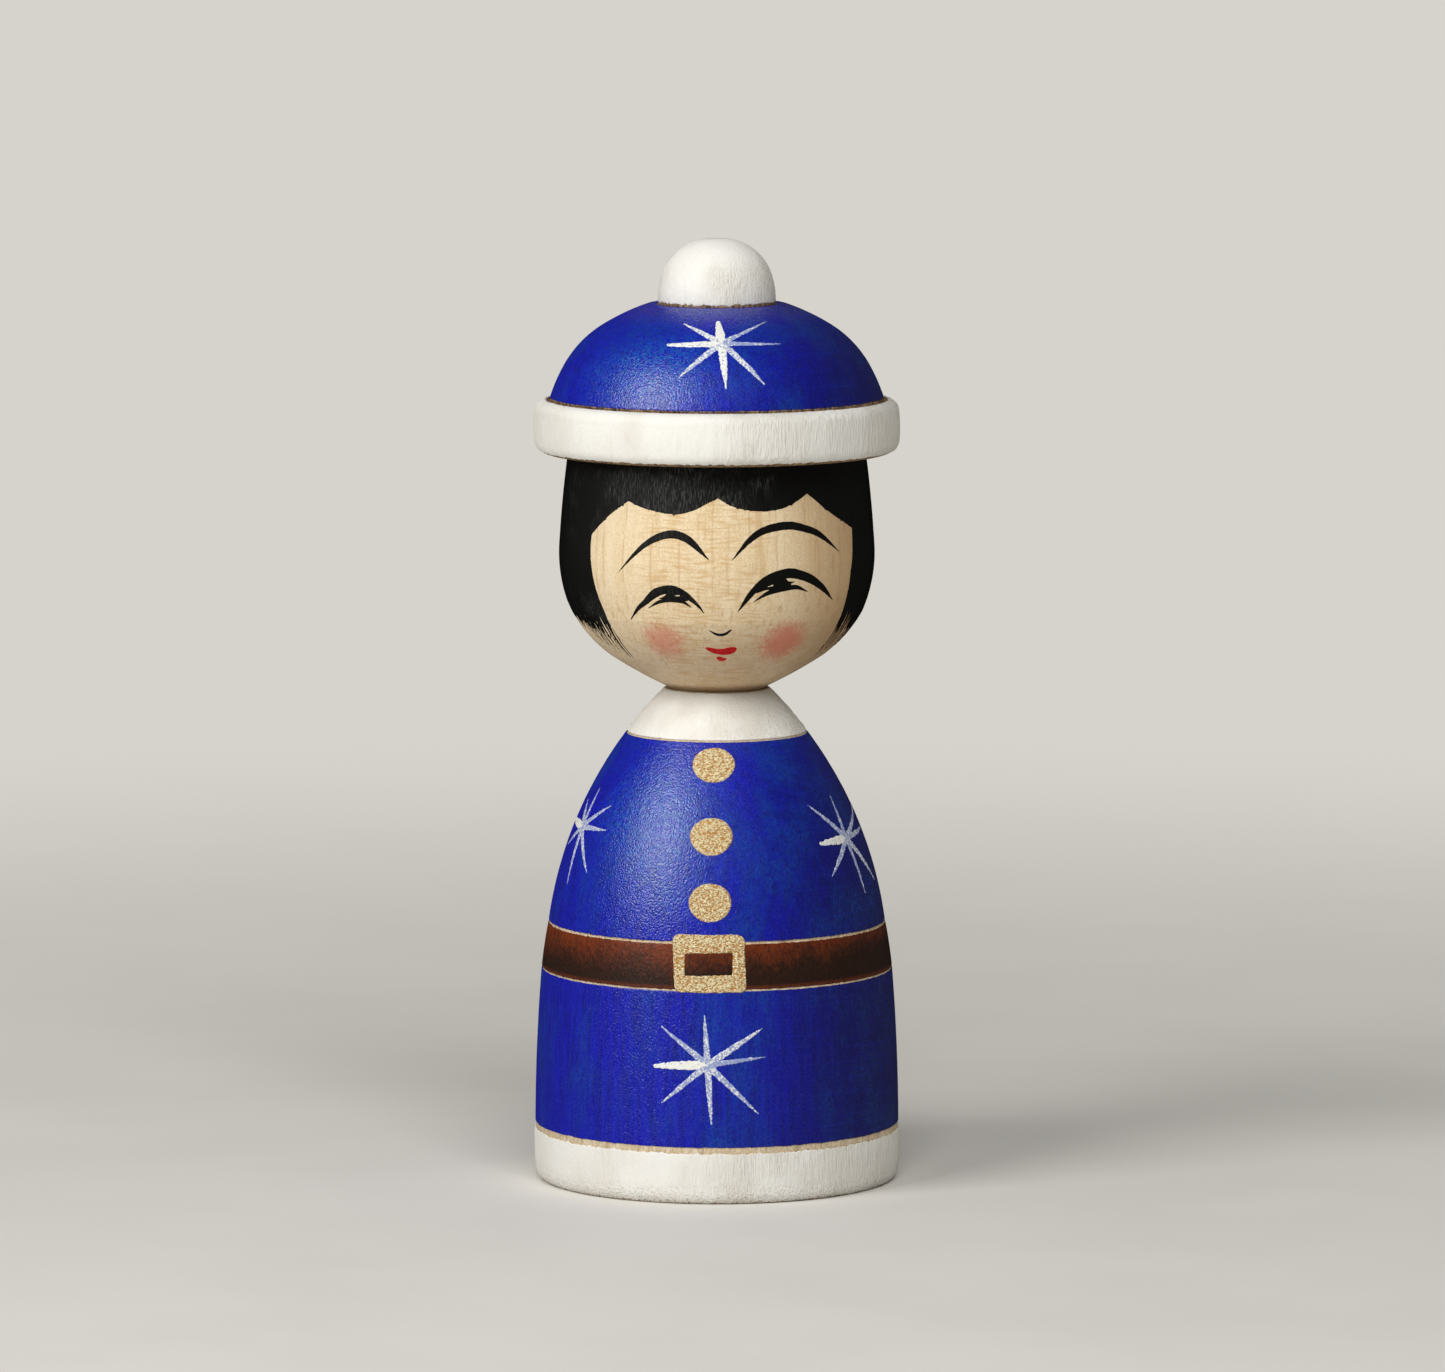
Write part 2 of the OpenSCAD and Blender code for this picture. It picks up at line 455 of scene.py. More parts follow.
# The rouge: angle and height of its middle, half size as an angle and a height, and strength
CHEEKS = ((-0.405, 70.5, 0.165, 2.3, 0.52), (0.52, 70.3, 0.185, 2.6, 0.62))


def srgb(red, green, blue):
    """Linear colour of an 8-bit one."""
    parts = [value / 255 for value in (red, green, blue)]
    return (*[v / 12.92 if v <= 0.04045 else ((v + 0.055) / 1.055) ** 2.4 for v in parts], 1)


class Finish:
    """A node material round one Principled shader, with short calls for the nodes it needs.

    Colours are 8-bit (red, green, blue). mm is the place in millimetres, and x, y and z are its parts."""

    def __init__(self, name, colour, roughness, specular=0.5, metallic=0):
        self.colour = srgb(*colour)
        self.material = bpy.data.materials.new(name)
        self.material.use_nodes = True
        self.tree = self.material.node_tree
        self.shader = next(n for n in self.tree.nodes if n.type == "BSDF_PRINCIPLED")
        self.set("Roughness", roughness)
        self.set("Specular IOR Level", specular)
        self.set("Metallic", metallic)
        place = self.node("TexCoord").outputs["Object"]
        self.mm = self.vector("MULTIPLY", place, (1 / MM, 1 / MM, 1 / MM))
        self.x, self.y, self.z = self.node("SeparateXYZ", (self.mm,)).outputs
        self.heights = []

    def wire(self, socket, value):
        if isinstance(value, bpy.types.NodeSocket):
            self.tree.links.new(value, socket)
        else:
            socket.default_value = value

    def set(self, name, value):
        self.wire(self.shader.inputs[name], value)

    def node(self, kind, values=(), **settings):
        made = self.tree.nodes.new("ShaderNode" + kind)
        for key, value in settings.items():
            setattr(made, key, value)
        for socket, value in zip(made.inputs, values):
            self.wire(socket, value)
        return made

    def vector(self, operation, a, b):
        return self.node("VectorMath", (a, b), operation=operation).outputs[0]

    def math(self, operation, a, b=0):
        return self.node("Math", (a, b), operation=operation).outputs[0]

    def plus(self, a, b):
        return self.math("ADD", a, b)

    def minus(self, a, b):
        return self.math("SUBTRACT", a, b)

    def times(self, a, b):
        return self.math("MULTIPLY", a, b)

    def noise(self, width, height, detail=2, roughness=0.5, shift=0):
        """Noise from 0 to 1 whose lumps are `width` mm across and `height` mm tall."""
        place = self.vector("MULTIPLY", self.mm, (1 / width, 1 / width, 1 / height))
        return self.noise_at(self.vector("ADD", place, (shift, shift, shift)), detail, roughness)

    def noise_at(self, place, detail=2, roughness=0.5):
        """Noise from 0 to 1 with one lump to a unit of place."""
        made = self.node("TexNoise")
        for name, value in (("Vector", place), ("Scale", 1), ("Detail", detail), ("Roughness", roughness)):
            self.wire(made.inputs[name], value)
        return made.outputs[0]

    def roughened(self, value, noise, amount):
        """value with noise added, which spans `amount` from its lowest to its highest."""
        return self.plus(value, self.times(self.minus(noise, 0.5), amount))

    def ramp(self, value, low, high, to_low=0, to_high=1):
        """Smooth change from to_low to to_high as value goes from low to high."""
        made = self.node("MapRange", (value, low, high, to_low, to_high),
                         interpolation_type="SMOOTHSTEP")
        return made.outputs[0]

    def share(self, value, low, high, strength=1):
        """A mixing factor: `strength` where value is beyond high, none where it is short of low."""
        return self.ramp(value, low, high, 0, strength)

    def blend(self, other, factor):
        """Turns the colour towards another."""
        made = self.node("Mix", data_type="RGBA")
        before, after = (socket for socket in made.inputs if socket.type == "RGBA")
        self.wire(made.inputs[0], factor)
        self.wire(before, self.colour)
        self.wire(after, srgb(*other))
        self.colour = next(socket for socket in made.outputs if socket.type == "RGBA")

    def tint(self, other, value, low, high, strength=1):
        """Turns the colour towards another by up to `strength` as value goes from low to high."""
        self.blend(other, self.share(value, low, high, strength))

    def far_from(self, angle, height, half_angle, half_height):
        """Distance from the middle of a patch on the doll's side, which is 1 at the patch's rim."""
        across = self.math("DIVIDE", self.minus(self.angle(), angle), half_angle)
        along = self.math("DIVIDE", self.minus(self.z, height), half_height)
        return self.math("SQRT", self.plus(self.times(across, across), self.times(along, along)))

    def angle(self):
        """Angle round the doll in radians."""
        return self.math("ARCTAN2", self.x, self.times(self.y, -1))

    def matt_rim(self, shine):
        """Shine that fades where the surface turns away, as it does on dull paint."""
        facing = self.node("LayerWeight").outputs["Facing"]
        self.set("Specular IOR Level", self.ramp(facing, 0.35, 0.9, shine, 0.02 * shine))

    def uneven(self, height, depth):
        """Adds bump `depth` mm deep where height goes from 0 to 1."""
        self.heights.append(self.times(height, depth))

    def done(self):
        """The finished material, with its colour and all its bump."""
        self.set("Base Color", self.colour)
        bump = self.node("Bump")
        bump.inputs["Strength"].default_value = 1
        bump.inputs["Distance"].default_value = MM
        self.wire(bump.inputs["Height"], reduce(self.plus, self.heights))
        self.set("Normal", bump.outputs[0])
        return self.material


def wood_grain(wood, dark, line):
    """Marks of turned wood: fine speckle, faint bands, thin growth lines and pores."""
    speckle = wood.noise(0.2, 0.3, roughness=0.6)
    bands = wood.noise(1.1, 40, shift=3)
    growth = wood.noise(0.6, 60, detail=1, shift=14)
    pores = wood.noise(0.14, 0.9, detail=1, shift=8)
    tone = wood.plus(wood.times(speckle, 0.65), wood.times(bands, 0.35))
    wood.tint(dark, tone, 0.36, 0.66)
    wood.tint(line, growth, 0.58, 0.7, 0.4)
    wood.tint(line, pores, 0.64, 0.78, 0.45)
    wood.uneven(speckle, 0.03)
    wood.uneven(wood.share(pores, 0.6, 0.78), -0.012)


def face_wood():
    """The head: waxed pale wood with rouged cheeks, and painted shade that darkens its right side and under
    the chin.
    """
    wood = Finish("face_wood", (238, 219, 186), 0.45, 0.3)
    wood_grain(wood, (222, 196, 152), (192, 154, 106))
    row = wood.plus(wood.z, wood.times(wood.noise(2.6, 2.6, detail=1, shift=1), 0.5))
    place = wood.node("CombineXYZ", (wood.times(wood.x, 0.34), 0, wood.times(row, 3.3)))
    lathe = wood.noise_at(place.outputs[0])
    middle = wood.share(wood.math("ABSOLUTE", wood.plus(wood.angle(), 0.08)), 0.55, 0.3)
    middle = wood.times(middle, wood.ramp(wood.noise(5, 4, detail=1, shift=6), 0.3, 0.5, 0.25, 1))
    lines = wood.times(wood.share(lathe, 0.42, 0.68), middle)
    wood.blend((208, 170, 116), wood.times(lines, 0.7))
    wood.uneven(wood.times(lathe, middle), 0.015)
    # Painted shade: darker and browner towards the chin and the viewer's right.
    painted_shade_low_right = wood.share(wood.minus(wood.z, wood.times(wood.x, 0.3)), 75, 63.5)
    painted_shade_low_right = wood.times(painted_shade_low_right, wood.ramp(wood.noise(2.2, 3, shift=2), 0.1, 0.75, 0.55, 1))
    wood.blend((160, 118, 74), wood.times(painted_shade_low_right, 0.42))
    # Painted shade: the right side, away from the key light, is darker.
    wood.tint((166, 122, 70), wood.x, 6, 17, 0.62)
    # Painted shade under the chin, at the neck.
    wood.tint((112, 82, 54), wood.z, 64.2, 63.2, 0.7)
    rub = wood.noise(0.35, 1.1, detail=4, roughness=0.75, shift=11)
    for *patch, strength in CHEEKS:
        far = wood.roughened(wood.far_from(*patch), rub, 1.9)
        wood.tint((212, 86, 62), far, 1.35, 0.4, strength)
    return wood.done()


def bare_wood(name, pale, dark, line, speck_strength):
    """Unpainted wood in the scored lines and under the hat. Its last argument is the strength of its dark
    specks.
    """
    wood = Finish(name, pale, 0.7, 0.15)
    wood_grain(wood, dark, line)
    specks = wood.noise(0.35, 0.9, detail=3, roughness=0.7, shift=21)
    wood.tint(line, specks, 0.46, 0.62, speck_strength)
    return wood.done()


def white_paint():
    """Brushed white: fibres of the wood stand up in it, and it is worn at the foot and under the pompom. The
    grey streaks along its fibres and the darker pits at its foot are painted shade.
    """
    paint = Finish("white_paint", (238, 236, 229), 0.5)
    paint.matt_rim(0.15)
    patches = paint.noise(6, 9, detail=3)
    paint.tint((231, 227, 217), patches, 0.35, 0.7)
    specks = paint.noise(0.4, 0.9, detail=1, shift=4)
    paint.tint((190, 160, 120), specks, 0.74, 0.82, 0.4)
    chips = paint.noise(0.3, 0.3, shift=13)
    for edge, reach in ((0, 0.9), (HAT_TOP, 0.5)):
        away = paint.math("ABSOLUTE", paint.minus(paint.z, edge))
        worn = paint.minus(chips, paint.times(away, 0.35 / reach))
        paint.tint((124, 96, 68), worn, 0.42, 0.5, 0.8)
    fibres = paint.noise(0.22, 2.2, detail=3, roughness=0.6)
    loose = paint.plus(patches, paint.times(paint.x, 0.012))
    raised = paint.times(fibres, paint.share(loose, 0.35, 0.75))
    # Painted shade: grey streaks on the raised fibres and between the fibres, to show their relief.
    paint.tint((190, 180, 162), raised, 0.35, 0.6, 0.05)
    paint.tint((182, 174, 158), fibres, 0.46, 0.3, 0.07)
    paint.uneven(fibres, 0.06)
    paint.uneven(raised, 0.2)
    paint.uneven(paint.noise(0.3, 0.4, shift=7), 0.06)
    pits = paint.noise(0.26, 0.3, roughness=0.6, shift=19)
    foot = paint.share(paint.z, 3.4, 0.8)
    # Painted shade in the pits at the foot.
    paint.blend((186, 176, 158), paint.times(foot, paint.share(pits, 0.46, 0.38, 0.5)))
    paint.uneven(paint.times(pits, foot), 0.28)
    paint.set("Roughness", paint.ramp(fibres, 0.2, 0.8, 0.42, 0.6))
    return paint.done()


def blue_paint():
    """Deep blue with a leathery skin, thin enough to show cyan patches and streaks down the wood. It darkens
    towards the viewer's right as painted shade, and its cyan patches on the bodice and the crown are partly a
    painted tint of the highlights there.
    """
    paint = Finish("blue_paint", (6, 12, 176), 0.4)
    paint.matt_rim(0.85)
    patches = paint.noise(7, 11, detail=3, roughness=0.6)
    streaks = paint.noise(0.5, 9, detail=3, roughness=0.6, shift=3)
    rows = paint.noise(9, 0.3, shift=30)
    paint.tint((4, 36, 164), patches, 0.3, 0.72)
    paint.tint((4, 6, 96), streaks, 0.35, 0.7, 0.55)
    # Painted shade: the blue darkens towards the viewer's right, away from the key light.
    paint.tint((8, 7, 68), paint.x, -2, 21, 0.82)
    paint.tint((8, 40, 176), rows, 0.5, 0.75, 0.2)
    speckle = paint.share(paint.noise(0.3, 0.5, shift=6), 0.36, 0.66)
    # Painted highlight, partly: the cyan mixed in below is thin paint, and over the patches on the bodice and
    # the crown also a painted tint of the highlights that fall there.
    thin = paint.share(patches, 0.42, 0.7, 0.35)
    for patch in THIN_BLUE_AND_HIGHLIGHT_TINT:
        far = paint.roughened(paint.far_from(*patch), patches, 1.2)
        thin = paint.math("MAXIMUM", thin, paint.share(far, 1.1, 0.2))
    paint.blend((12, 92, 168), paint.times(paint.times(speckle, thin), 0.85))
    fibres = paint.noise(0.22, 1.6, shift=16)
    paint.tint((30, 60, 190), fibres, 0.56, 0.76, 0.28)
    dust = paint.noise(0.16, 0.16, detail=1, shift=27)
    paint.tint((110, 124, 190), dust, 0.77, 0.83, 0.5)
    worn = paint.times(paint.share(paint.z, HAT_TOP - 2.4, HAT_TOP), paint.share(fibres, 0.35, 0.6, 0.5))
    paint.blend((84, 80, 120), worn)
    leather = paint.noise(0.23, 0.25, detail=1, shift=9)
    paint.uneven(leather, 0.085)
    paint.uneven(streaks, 0.02)
    paint.set("Roughness", paint.ramp(leather, 0.3, 0.7, 0.2, 0.38))
    return paint.done()


def brown_paint():
    """The belt: thin brown lacquer, mottled red towards its top edge, darker towards the viewer's right as
    painted shade, and with a painted highlight along its lower rim.
    """
    paint = Finish("brown_paint", (46, 28, 20), 0.4)
    paint.matt_rim(0.3)
    bottom, top = (float(torso.at(s)[1]) for s in BELT)
    height = paint.math("DIVIDE", paint.minus(paint.z, bottom), top - bottom)
    height = paint.roughened(height, paint.noise(0.45, 0.7, detail=3, roughness=0.7), 1.1)
    height = paint.roughened(height, paint.noise(5, 9, shift=3), 0.7)
    # Painted shade: less red and darker towards the viewer's right.
    height = paint.minus(height, paint.times(paint.math("MAXIMUM", paint.x, 4), 0.022))
    paint.tint((118, 50, 20), height, 0.1, 1.05)
    # Painted highlight: a reddish line along the belt's lower rim.
    paint.tint((112, 50, 26), paint.z, bottom + 0.6, bottom + 0.1, 0.6)
    specks = paint.noise(0.28, 0.4, shift=5)
    paint.tint((30, 16, 10), specks, 0.54, 0.66, 0.55)
    paint.uneven(specks, 0.03)
    paint.uneven(paint.noise(0.36, 0.4, shift=1), 0.06)
    return paint.done()


def gold_paint():
    """Thick gold with a crumpled skin, whose raised lumps are lighter as a painted highlight."""
    paint = Finish("gold_paint", (206, 148, 78), 0.32, metallic=0.25)
    lumps = paint.noise(0.3, 0.19, shift=2)
    paint.uneven(lumps, 0.42)
    paint.uneven(paint.noise(0.14, 0.12, detail=1, shift=5), 0.03)
    # Painted highlight: the tops of the lumps are lighter.
    paint.tint((255, 242, 196), lumps, 0.4, 0.58)
    return paint.done()


def black_paint(name, grey):
    """Brushed black: short grey streaks run down the wood, most over the left brow and none behind. They are
    partly brushwork and partly a painted sheen, gathered where the key light's highlight falls.
    """
    paint = Finish(name, (15, 15, 13), 0.5)
    paint.matt_rim(0.27)
    streaks = paint.noise(0.15, 1.7, detail=3, roughness=0.65)
    # Painted sheen, partly: the grey streaks gather over the left brow, where the key light's highlight
    # falls, and fade out behind.
    from_brow = paint.math("ABSOLUTE", paint.plus(paint.x, 5))
    worn = paint.minus(paint.noise(4.5, 4, shift=9), paint.times(from_brow, 0.03))
    worn = paint.minus(worn, paint.share(paint.y, -8, 4, 0.5))
    bare = paint.times(paint.share(streaks, 0.47, 0.66), paint.share(worn, 0.12, 0.5, grey))
    paint.uneven(streaks, 0.03)
    paint.uneven(paint.noise(0.3, 0.4, shift=7), 0.02)
    paint.set("Roughness", paint.ramp(streaks, 0.3, 0.7, 0.62, 0.48))
    paint.blend((96, 98, 98), bare)
    return paint.done()


def red_paint():
    """The mouth: bright red, darker where it pooled."""
    paint = Finish("red_paint", (208, 20, 14), 0.45, 0.2)
    pools = paint.noise(0.5, 0.4)
    paint.uneven(pools, 0.012)
    paint.tint((178, 12, 12), pools, 0.35, 0.7)
    return paint.done()


def star_paint():
    """Thin white that lets the blue through, with thick beads where the brush left more."""
    paint = Finish("star_paint", (146, 158, 200), 0.5, 0.4)
    cover = paint.node("Attribute", attribute_name="cover").outputs["Fac"]
    beads = paint.noise(0.26, 0.3, shift=4)
    thick = paint.roughened(cover, beads, 2.4)
    paint.uneven(beads, 0.05)
    paint.tint((238, 238, 230), thick, 0.25, 0.8)
    return paint.done()


# ---------------- unevenness of the paint

def relief(*layers):
    """Unevenness made of layers of noise. A layer is its amount, width and height, and its shift if any."""
    def at(points):
        return sum(amount * grain_at(points, *size) for amount, *size in layers)
    return at


def white_relief(points):
    """Fibres of the wood that lift the white paint in patches."""
    fibres = np.clip(grain_at(points, 0.42, 3), 0, 1) ** 1.4
    patch = ramp(grain_at(points, 8, 6, 3.3), -0.35, 0.35)
    return 0.1 * fibres * patch + 0.01 * grain_at(points, 0.6, 0.6, 8.2) - 0.004


blue_relief = relief((0.007, 0.7, 0.9), (0.008, 0.6, 6, 5.1))
brown_relief = relief((0.006, 0.7, 0.9), (0.005, 0.6, 4, 2.2))
hair_relief = relief((0.013, 0.45, 8, 7.7))
gold_relief = relief((0.045, 0.36, 0.22), (0.015, 0.7, 0.5, 4.4))
ink_relief = relief((0.004, 0.4, 0.4))
star_relief = relief((0.02, 0.24, 0.28, 6.1))


# ---------------- the doll

torso = Side("torso", (35, 20, 4))
head = Side("head", (80, 70), above=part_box("torso")[1].z / MM)
hat = Side("hat", (90, 45), wrap=1.6, flat_top=3)
pompom = Side("pompom", (114,), above=HAT_TOP, flat_top=0.9)
HEM, SKIRT, BELT, BODICE, COLLAR = (torso.band(height) for height in (3, 17, 30, 45, 60))
DOME = head.band(100)
BRIM, CROWN, LEDGE = hat.band(96), hat.band(106), hat.bands[-1]

# The looks of the paints: the slot, the material and the relief
WHITE = ("white_paint", white_paint(), white_relief)
BLUE = ("blue_paint", blue_paint(), blue_relief)
BROWN = ("brown_paint", brown_paint(), brown_relief)
GOLD = ("gold_paint", gold_paint(), gold_relief)
HAIR = ("black_paint", black_paint("hair_black", 0.5), hair_relief)
INK_BLACK = ("black_paint", black_paint("ink_black", 0.2), ink_relief)
RED = ("red_paint", red_paint(), ink_relief)
STAR = ("white_paint", star_paint(), star_relief)


def ragged_line(side, s, amount, size, seed):
    """A line round the doll near s that wavers by up to `amount`, in waves about `size` long."""
    points = side.place(turns(), np.full(COLUMNS, float(s)))
    return s + amount * (grain_at(points, size, 1e6, seed) + 0.5 * grain_at(points, size / 3, 1e6, seed + 9))


def band(name, side, ends, look, body, low, high):
    """A band of colour over one smooth stretch of a side. low and high are (margin, raggedness, wave)."""
    lower = ragged_line(side, ends[0] + low[0], low[1], low[2], ends[0])
    upper = ragged_line(side, ends[1] - high[0], high[1], high[2], ends[1] + 20)
    skin(name, side, lower, upper, look, body)


def dress_torso():
    for name, ends, look, low, high in (
            ("hem_paint", HEM, WHITE, (0.2, 0.12, 0.7), (0, 0.17, 0.3)),
            ("skirt_paint", SKIRT, BLUE, (-0.02, 0.06, 0.6), (-0.1, 0.03, 0.5)),
            ("belt_paint", BELT, BROWN, (-0.07, 0.04, 0.5), (-0.04, 0.05, 0.3)),
            ("bodice_paint", BODICE, BLUE, (-0.06, 0.06, 0.25), (-0.1, 0.03, 0.5)),
            ("collar_paint", COLLAR, WHITE, (-0.05, 0.03, 0.5), (0.12, 0.08, 0.5))):
        band(name, torso, ends, look, "torso", low, high)


def dress_hat():
    band("brim_paint", hat, BRIM, WHITE, "hat", (2.6, 0.14, 0.4), (0.2, 0.07, 0.4))
    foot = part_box("pompom")[1].x / MM
    inner = LEDGE[0] + float(hat.at(LEDGE[0])[0]) - foot
    band("crown_paint", hat, (CROWN[0], inner - 0.2), BLUE, "hat", (0.1, 0.07, 0.4), (0, 0.13, 0.5))
    low = ragged_line(pompom, pompom.bands[0][0] + 0.25, 0.17, 0.4, 5)[::2]
    skin("pompom_paint", pompom, low, pompom.bands[-1][1], WHITE, "hat", columns=COLUMNS // 2, to_axis=True)


def star(name, side, body, centre, rays):
    """An eight-rayed frost star, one brush stroke to a ray.

    A ray is (x, y, weight): where its tip is from the middle, and how wide and thick it is."""
    def inside(x, y):
        depth = np.full_like(x, OUTSIDE)
        cover = np.zeros_like(x)
        for tip_x, tip_y, weight in rays:
            wide = 0.41 * weight
            blunt = 0.42 if weight > 1.3 else 0.2
            shape = ((0, 0.5), (0.3, wide), (0.55, wide * 0.85), (0.8, wide * (0.4 + blunt * 0.6)),
                     (1, wide * blunt))
            here = brush(x, y, [(along * tip_x, along * tip_y, half) for along, half in shape])
            cover = np.where(here > depth, weight, cover)
            depth = np.maximum(depth, here)
        depth = depth + rough(x, y, 0.09, 0.22, centre[0])
        return depth, np.clip(cover - 0.55, 0, 1)
    reach = [max(abs(ray[axis]) for ray in rays) + 0.6 for axis in (0, 1)]
    pad(name, side, centre, reach, inside, STAR, body, 0.04, base=PAINT)


def stars():
    star("skirt_star", torso, "torso", (-2.9, 17.8), [
        (-0.4, 6.2, 0.95), (6.9, 4.5, 1.05), (7.4, 0.9, 0.8), (6.5, -6.35, 0.9),
        (0.5, -7.5, 1), (-5.8, -4.9, 0.95), (-6.7, -0.3, 1.5), (-5.9, 4.7, 0.9)])
    star("right_star", torso, "torso", (62.3, 44.65), [
        (0.15, 5.6, 0.8), (7.7, 3.5, 0.9), (7.5, 0.5, 0.9), (6.1, -6.3, 1),
        (1.3, -7.7, 0.8), (-5.3, -4.5, 0.9), (-5.5, -0.2, 1.4), (-5.2, 5, 0.9)])
    star("left_star", torso, "torso", (-71, 45.75), [
        (0.2, 5.4, 0.8), (4.95, 3.4, 0.9), (6.1, 0.2, 0.9), (5.2, -5.55, 0.9),
        (0.8, -7.5, 0.9), (-3.9, -2.9, 0.9), (-5.5, 0.3, 1.4), (-2.4, 3.4, 0.9)])
    star("hat_star", hat, "hat", (2.1, 107.95), [
        (-0.3, 4.6, 1.5), (6.1, 4.5, 0.85), (7.7, -0.3, 0.8), (5.3, -6.2, 1.05),
        (0.4, -6.6, 1.28), (-5.6, -5.4, 1), (-6.8, -0.4, 1.32), (-4.6, 4, 1.15)])


def button(name, centre, seed):
    """A thick gold dot, a little out of round."""
    half_width, half_height, radius = 2.7, 2.45, 2.55

    def inside(x, y):
        turn = np.arctan2(y, x)
        wobble = 0.09 * grain(np.cos(turn) * 1.6 + seed, np.sin(turn) * 1.6, np.full_like(x, 0.5))
        depth = (1 - np.hypot(x / half_width, y / half_height)) * radius + wobble
        return depth + rough(x, y, 0.03, 0.2, seed), np.ones_like(x)

    pad(name, torso, centre, (3.1, 2.9), inside, GOLD, "torso", 0.11, base=PAINT, pitch=0.07,
        round_edge=0.25)


def box_depth(x, y, half_width, half_height, corner):
    """How far inside a rectangle with rounded corners each point is."""
    over_x, over_y = np.abs(x) - half_width + corner, np.abs(y) - half_height + corner
    outside = np.hypot(np.maximum(over_x, 0), np.maximum(over_y, 0))
    return corner - outside - np.minimum(np.maximum(over_x, over_y), 0)


def buckle():
    """A gold frame over the belt. It covers the scored line above the belt, which dents it."""
    middle = 30.45
    s_middle = float(torso.s_at(middle))
    s_line = (BODICE[0] + BELT[1]) / 2 - s_middle

    def inside(x, y):
        outer = box_depth(x + 0.05 * y, y, 4.55, 3.65, 0.9)
        window = box_depth(x + 0.1, y + 0.08 - 0.02 * x, 3, 1.38, 0.12)
        depth = np.minimum(outer, -window) + rough(x, y, 0.06, 0.3, 3)
        return depth + rough(x, y, 0.05, 1.3, 8), np.ones_like(x)

    def dented(points):
        s = torso.s_at(points[..., 2]) - s_middle
        dent = np.exp(-((s - s_line) / 0.16) ** 2) * (0.6 + 0.4 * grain_at(points, 0.8, 3))
        return gold_relief(points) - 0.06 * dent

    look = (GOLD[0], GOLD[1], dented)
    pad("buckle", torso, (-2.45, middle), (5.2, 4.3), inside, look, "torso", 0.12, base=PAINT,
        round_edge=0.25)


def mark(name, centre, reach, strokes, holes=(), look=INK_BLACK, ragged=0.03, seed=1, pitch=0.06):
    """A few brush strokes on the face, in millimetres from the centre, which is (angle, height)."""
    inside = painted(strokes, holes, ragged, seed)
    pad(name, head, centre, reach, inside, look, "head", INK, pitch=pitch)


def brows():
    left = [(-7.9, -5, 0.03), (-5.3, -2.4, 0.24), (-3.6, -1, 0.38), (-1.8, -0.05, 0.48),
            (-0.1, 0.3, 0.53), (1.4, -0.05, 0.5), (2.7, -0.95, 0.41), (4.7, -2.95, 0.03)]
    right = [(-7.3, -3.7, 0.03), (-5.2, -1.4, 0.34), (-3.45, -0.2, 0.46), (-1.4, 0.35, 0.52),
             (0.7, 0.43, 0.52), (2.9, -0.1, 0.46), (5, -0.95, 0.38), (8.4, -3.3, 0.03)]
    mark("left_brow", (-16, 84), (9, 6), [left], seed=84, pitch=0.07)
    mark("right_brow", (26.4, 84.8), (9, 6), [right], seed=84.8, pitch=0.07)


def left_eye():
    lid = [(-6.35, -3.45, 0.06), (-5.1, -1.88, 0.27), (-4.12, -1.07, 0.38), (-3.1, -0.15, 0.51),
           (-2.15, 0.48, 0.59), (-0.35, 0.9, 0.53), (1.1, 0.42, 0.48), (2.35, -0.52, 0.3),
           (3.2, -1.45, 0.17), (3.65, -2.2, 0.04)]
    pupil = [(-1.95, -0.36, 0.07), (-1.3, -0.22, 0.18), (-0.7, 0, 0.42), (0.05, 0, 0.6),
             (0.85, -0.1, 0.55), (1.6, -0.4, 0.22)]
    lash = [(-3.65, -1.75, 0.03), (-2.3, -0.95, 0.22), (-1.45, -0.65, 0.27), (-0.5, -0.53, 0.28),
            (1.05, -0.7, 0.25), (2.2, -1.5, 0.03)]
    gaps = [[(0.15, 0.08, 0.03), (0.65, 0.1, 0.07)], [(-1.9, -0.04, 0.05), (-1.1, 0.2, 0.05)]]
    mark("left_eye", (-15.8, 76.5), (6.8, 4), [lid, pupil, lash], gaps, ragged=0.025, seed=4)


def right_eye():
    lid = [(-6.4, -3.8, 0.05), (-5.4, -2.05, 0.33), (-4.6, -0.95, 0.42), (-3.6, 0, 0.5),
           (-2.5, 0.58, 0.57), (-1.2, 0.94, 0.62), (0.2, 1.08, 0.64), (1.6, 0.8, 0.61), (3.2, 0.2, 0.56),
           (4.5, -0.55, 0.48), (5.7, -1.4, 0.35), (7.35, -2.85, 0.04)]
    pupil = [(-4.2, -1.12, 0.2), (-3.15, -0.5, 0.48), (-2, -0.15, 0.78), (-1.15, -0.1, 0.82),
             (-0.5, -0.25, 0.55), (0.2, -0.4, 0.2)]
    tick = [(-0.5, -0.05, 0.15), (0.3, -0.1, 0.14), (0.9, 0, 0.03)]
    lash = [(-4.6, -2.5, 0.03), (-3.4, -1.7, 0.22), (-2.6, -1.3, 0.32), (-1.75, -1, 0.4),
            (0.3, -0.76, 0.33), (1.35, -0.8, 0.27), (2.95, -1.45, 0.03)]
    gap = [(-2.8, -0.52, 0.03), (-2.2, -0.36, 0.08)]
    mark("right_eye", (27, 78.2), (7.8, 4.4), [lid, pupil, tick, lash], [gap], ragged=0.025, seed=9)


